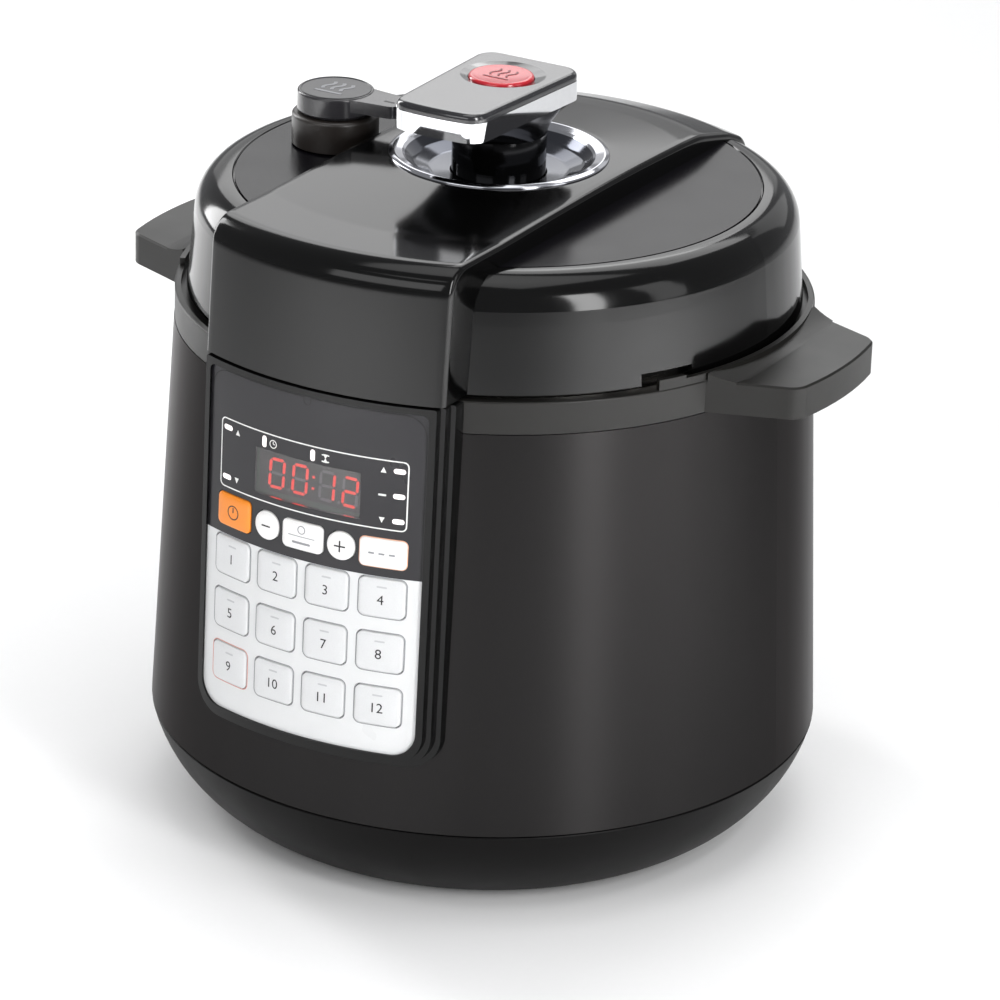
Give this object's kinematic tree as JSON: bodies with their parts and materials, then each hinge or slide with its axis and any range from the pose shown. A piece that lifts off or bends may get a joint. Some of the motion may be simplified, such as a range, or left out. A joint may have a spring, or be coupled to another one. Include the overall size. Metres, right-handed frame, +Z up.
{
  "type": "electric pressure cooker",
  "caption": "Round electric pressure cooker with a bayonet lid, wide centre band, bridge grip with release button, steam valve, key panel, side handles and inner pot.",
  "frame": {"origin": "centre of the base on the surface that it stands on", "axes": "+Z up, -Y out of the control panel, +X to the right seen from the front"},
  "size_m": [0.344, 0.3178, 0.3362],
  "materials": {
    "shell_satin": "satin",
    "rim_grey": "satin",
    "base_black": "satin",
    "gloss_black": "high gloss",
    "inset_grey": "satin",
    "bezel_black": "semi gloss",
    "panel_print": "printed satin",
    "window_smoke": "smoked clear",
    "display_black": "matt",
    "lamp_clear": "translucent",
    "key_white": "satin",
    "key_orange": "satin",
    "steel_bright": "drawn and brushed",
    "aluminium_cast": "cast and machined",
    "chrome_trim": "mirror",
    "button_red": "translucent gloss",
    "silicone": "matt translucent",
    "rubber_black": "matt",
    "board_green": "solder mask",
    "parts_dark": "matt",
    "wire_cover": "silicone sleeve",
    "ribbon_grey": "satin",
    "cup_clear": "smoked translucent",
    "lever_plastic": "satin",
    "valve_black": "satin"
  },
  "bodies": {
    "housing": {"base_shell": "base_black", "rubber_feet": "rubber_black", "case_screws": "steel_bright", "support_plate": "steel_bright", "outer_shell": "shell_satin", "rim_frame": "rim_grey", "panel_bezel": "bezel_black", "panel_overlay": "panel_print", "display_window": "window_smoke", "display_module": "display_black", "indicator_lamps": "lamp_clear", "control_board": "board_green", "key_switches": "parts_dark", "ribbon_cable": "ribbon_grey", "power_board": "board_green", "power_parts": "parts_dark", "heater_leads": "wire_cover", "power_inlet": "base_black", "pressure_can": "steel_bright", "heating_plate": "aluminium_cast", "sensor_spring": "steel_bright"},
    "sensor": {"heat_sensor": "aluminium_cast"},
    "pot": {"inner_pot": "steel_bright"},
    "seal": {"sealing_ring": "silicone", "ring_carrier": "steel_bright"},
    "lid": {"lid_plate": "steel_bright", "lid_cover": "gloss_black", "lid_insets": "inset_grey", "lid_band": "gloss_black", "bezel_ring": "chrome_trim", "handle_base": "gloss_black", "handle_trim": "chrome_trim", "handle_top": "gloss_black", "lid_screws": "steel_bright", "vent_shield": "steel_bright", "valve_seat": "aluminium_cast", "button_spring": "steel_bright"},
    "button": {"release_button": "button_red"},
    "lever": {"release_lever": "lever_plastic"},
    "valve": {"valve_weight": "valve_black"},
    "knob": {"valve_knob": "valve_black"},
    "float": {"float_valve": "steel_bright"},
    "cup": {"condensation_cup": "cup_clear"},
    "key_pressure": {"key_pressure": "key_orange"},
    "key_minus": {"key_minus": "key_white"},
    "key_time": {"key_time": "key_white"},
    "key_plus": {"key_plus": "key_white"},
    "key_slow": {"key_slow": "key_white"},
    "key_prog_01": {"key_prog_01": "key_white"},
    "key_prog_02": {"key_prog_02": "key_white"},
    "key_prog_03": {"key_prog_03": "key_white"},
    "key_prog_04": {"key_prog_04": "key_white"},
    "key_prog_05": {"key_prog_05": "key_white"},
    "key_prog_06": {"key_prog_06": "key_white"},
    "key_prog_07": {"key_prog_07": "key_white"},
    "key_prog_08": {"key_prog_08": "key_white"},
    "key_prog_09": {"key_prog_09": "key_white"},
    "key_prog_10": {"key_prog_10": "key_white"},
    "key_prog_11": {"key_prog_11": "key_white"},
    "key_prog_12": {"key_prog_12": "key_white"}
  },
  "joints": [
    {"name": "pot_lift", "type": "slide", "parent": "housing", "child": "pot", "axis": [0, 0, 1], "range_m": [0, 0.19]},
    {"name": "lid_lift", "type": "slide", "parent": "pot", "child": "seal", "axis": [0, 0, 1], "range_m": [0, 0.16]},
    {"name": "lid_turn", "type": "hinge", "parent": "seal", "child": "lid", "pos_m": [0, 0, 0.244], "axis": [0, 0, 1], "range_deg": [0, 30]},
    {"name": "button_press", "type": "slide", "parent": "lid", "child": "button", "axis": [0, 0, -1], "range_m": [0, 0.0035], "stiffness_N_per_m": 600, "springref_m": -0.001, "deforming": ["button_spring"]},
    {"name": "lever_tilt", "type": "hinge", "parent": "lid", "child": "lever", "pos_m": [-0.04, 0, 0.275], "axis": [0, 1, 0], "range_deg": [0, 5.02]},
    {"name": "valve_lift", "type": "slide", "parent": "lid", "child": "valve", "axis": [0, 0, 1], "range_m": [0, 0.003]},
    {"name": "valve_turn", "type": "hinge", "parent": "valve", "child": "knob", "pos_m": [-0.082, -0.003, 0.305], "axis": [0, 0, 1], "range_deg": [0, 45]},
    {"name": "float_rise", "type": "slide", "parent": "lid", "child": "float", "axis": [0, 0, 1], "range_m": [0, 0.003]},
    {"name": "sensor_press", "type": "slide", "parent": "housing", "child": "sensor", "axis": [0, 0, 1], "range_m": [-0.003, 0], "stiffness_N_per_m": 800, "springref_m": 0.0012, "deforming": ["sensor_spring"]},
    {"name": "cup_slide", "type": "slide", "parent": "housing", "child": "cup", "axis": [0, 1, 0], "range_m": [0, 0.045]},
    {"name": "key_pressure_press", "type": "slide", "parent": "housing", "child": "key_pressure", "axis": [0, 1, 0], "range_m": [0, 0.0006], "stiffness_N_per_m": 1500},
    {"name": "key_minus_press", "type": "slide", "parent": "housing", "child": "key_minus", "axis": [0, 1, 0], "range_m": [0, 0.0006], "stiffness_N_per_m": 1500},
    {"name": "key_time_press", "type": "slide", "parent": "housing", "child": "key_time", "axis": [0, 1, 0], "range_m": [0, 0.0006], "stiffness_N_per_m": 1500},
    {"name": "key_plus_press", "type": "slide", "parent": "housing", "child": "key_plus", "axis": [0, 1, 0], "range_m": [0, 0.0006], "stiffness_N_per_m": 1500},
    {"name": "key_slow_press", "type": "slide", "parent": "housing", "child": "key_slow", "axis": [0, 1, 0], "range_m": [0, 0.0006], "stiffness_N_per_m": 1500},
    {"name": "key_prog_01_press", "type": "slide", "parent": "housing", "child": "key_prog_01", "axis": [0, 1, 0], "range_m": [0, 0.0006], "stiffness_N_per_m": 1500},
    {"name": "key_prog_02_press", "type": "slide", "parent": "housing", "child": "key_prog_02", "axis": [0, 1, 0], "range_m": [0, 0.0006], "stiffness_N_per_m": 1500},
    {"name": "key_prog_03_press", "type": "slide", "parent": "housing", "child": "key_prog_03", "axis": [0, 1, 0], "range_m": [0, 0.0006], "stiffness_N_per_m": 1500},
    {"name": "key_prog_04_press", "type": "slide", "parent": "housing", "child": "key_prog_04", "axis": [0, 1, 0], "range_m": [0, 0.0006], "stiffness_N_per_m": 1500},
    {"name": "key_prog_05_press", "type": "slide", "parent": "housing", "child": "key_prog_05", "axis": [0, 1, 0], "range_m": [0, 0.0006], "stiffness_N_per_m": 1500},
    {"name": "key_prog_06_press", "type": "slide", "parent": "housing", "child": "key_prog_06", "axis": [0, 1, 0], "range_m": [0, 0.0006], "stiffness_N_per_m": 1500},
    {"name": "key_prog_07_press", "type": "slide", "parent": "housing", "child": "key_prog_07", "axis": [0, 1, 0], "range_m": [0, 0.0006], "stiffness_N_per_m": 1500},
    {"name": "key_prog_08_press", "type": "slide", "parent": "housing", "child": "key_prog_08", "axis": [0, 1, 0], "range_m": [0, 0.0006], "stiffness_N_per_m": 1500},
    {"name": "key_prog_09_press", "type": "slide", "parent": "housing", "child": "key_prog_09", "axis": [0, 1, 0], "range_m": [0, 0.0006], "stiffness_N_per_m": 1500},
    {"name": "key_prog_10_press", "type": "slide", "parent": "housing", "child": "key_prog_10", "axis": [0, 1, 0], "range_m": [0, 0.0006], "stiffness_N_per_m": 1500},
    {"name": "key_prog_11_press", "type": "slide", "parent": "housing", "child": "key_prog_11", "axis": [0, 1, 0], "range_m": [0, 0.0006], "stiffness_N_per_m": 1500},
    {"name": "key_prog_12_press", "type": "slide", "parent": "housing", "child": "key_prog_12", "axis": [0, 1, 0], "range_m": [0, 0.0006], "stiffness_N_per_m": 1500}
  ],
  "couplings": [
    {"joint": "lever_tilt", "follows": "button_press", "rad_per_m": 25},
    {"joint": "valve_lift", "follows": "button_press", "ratio": 0.857}
  ]
}
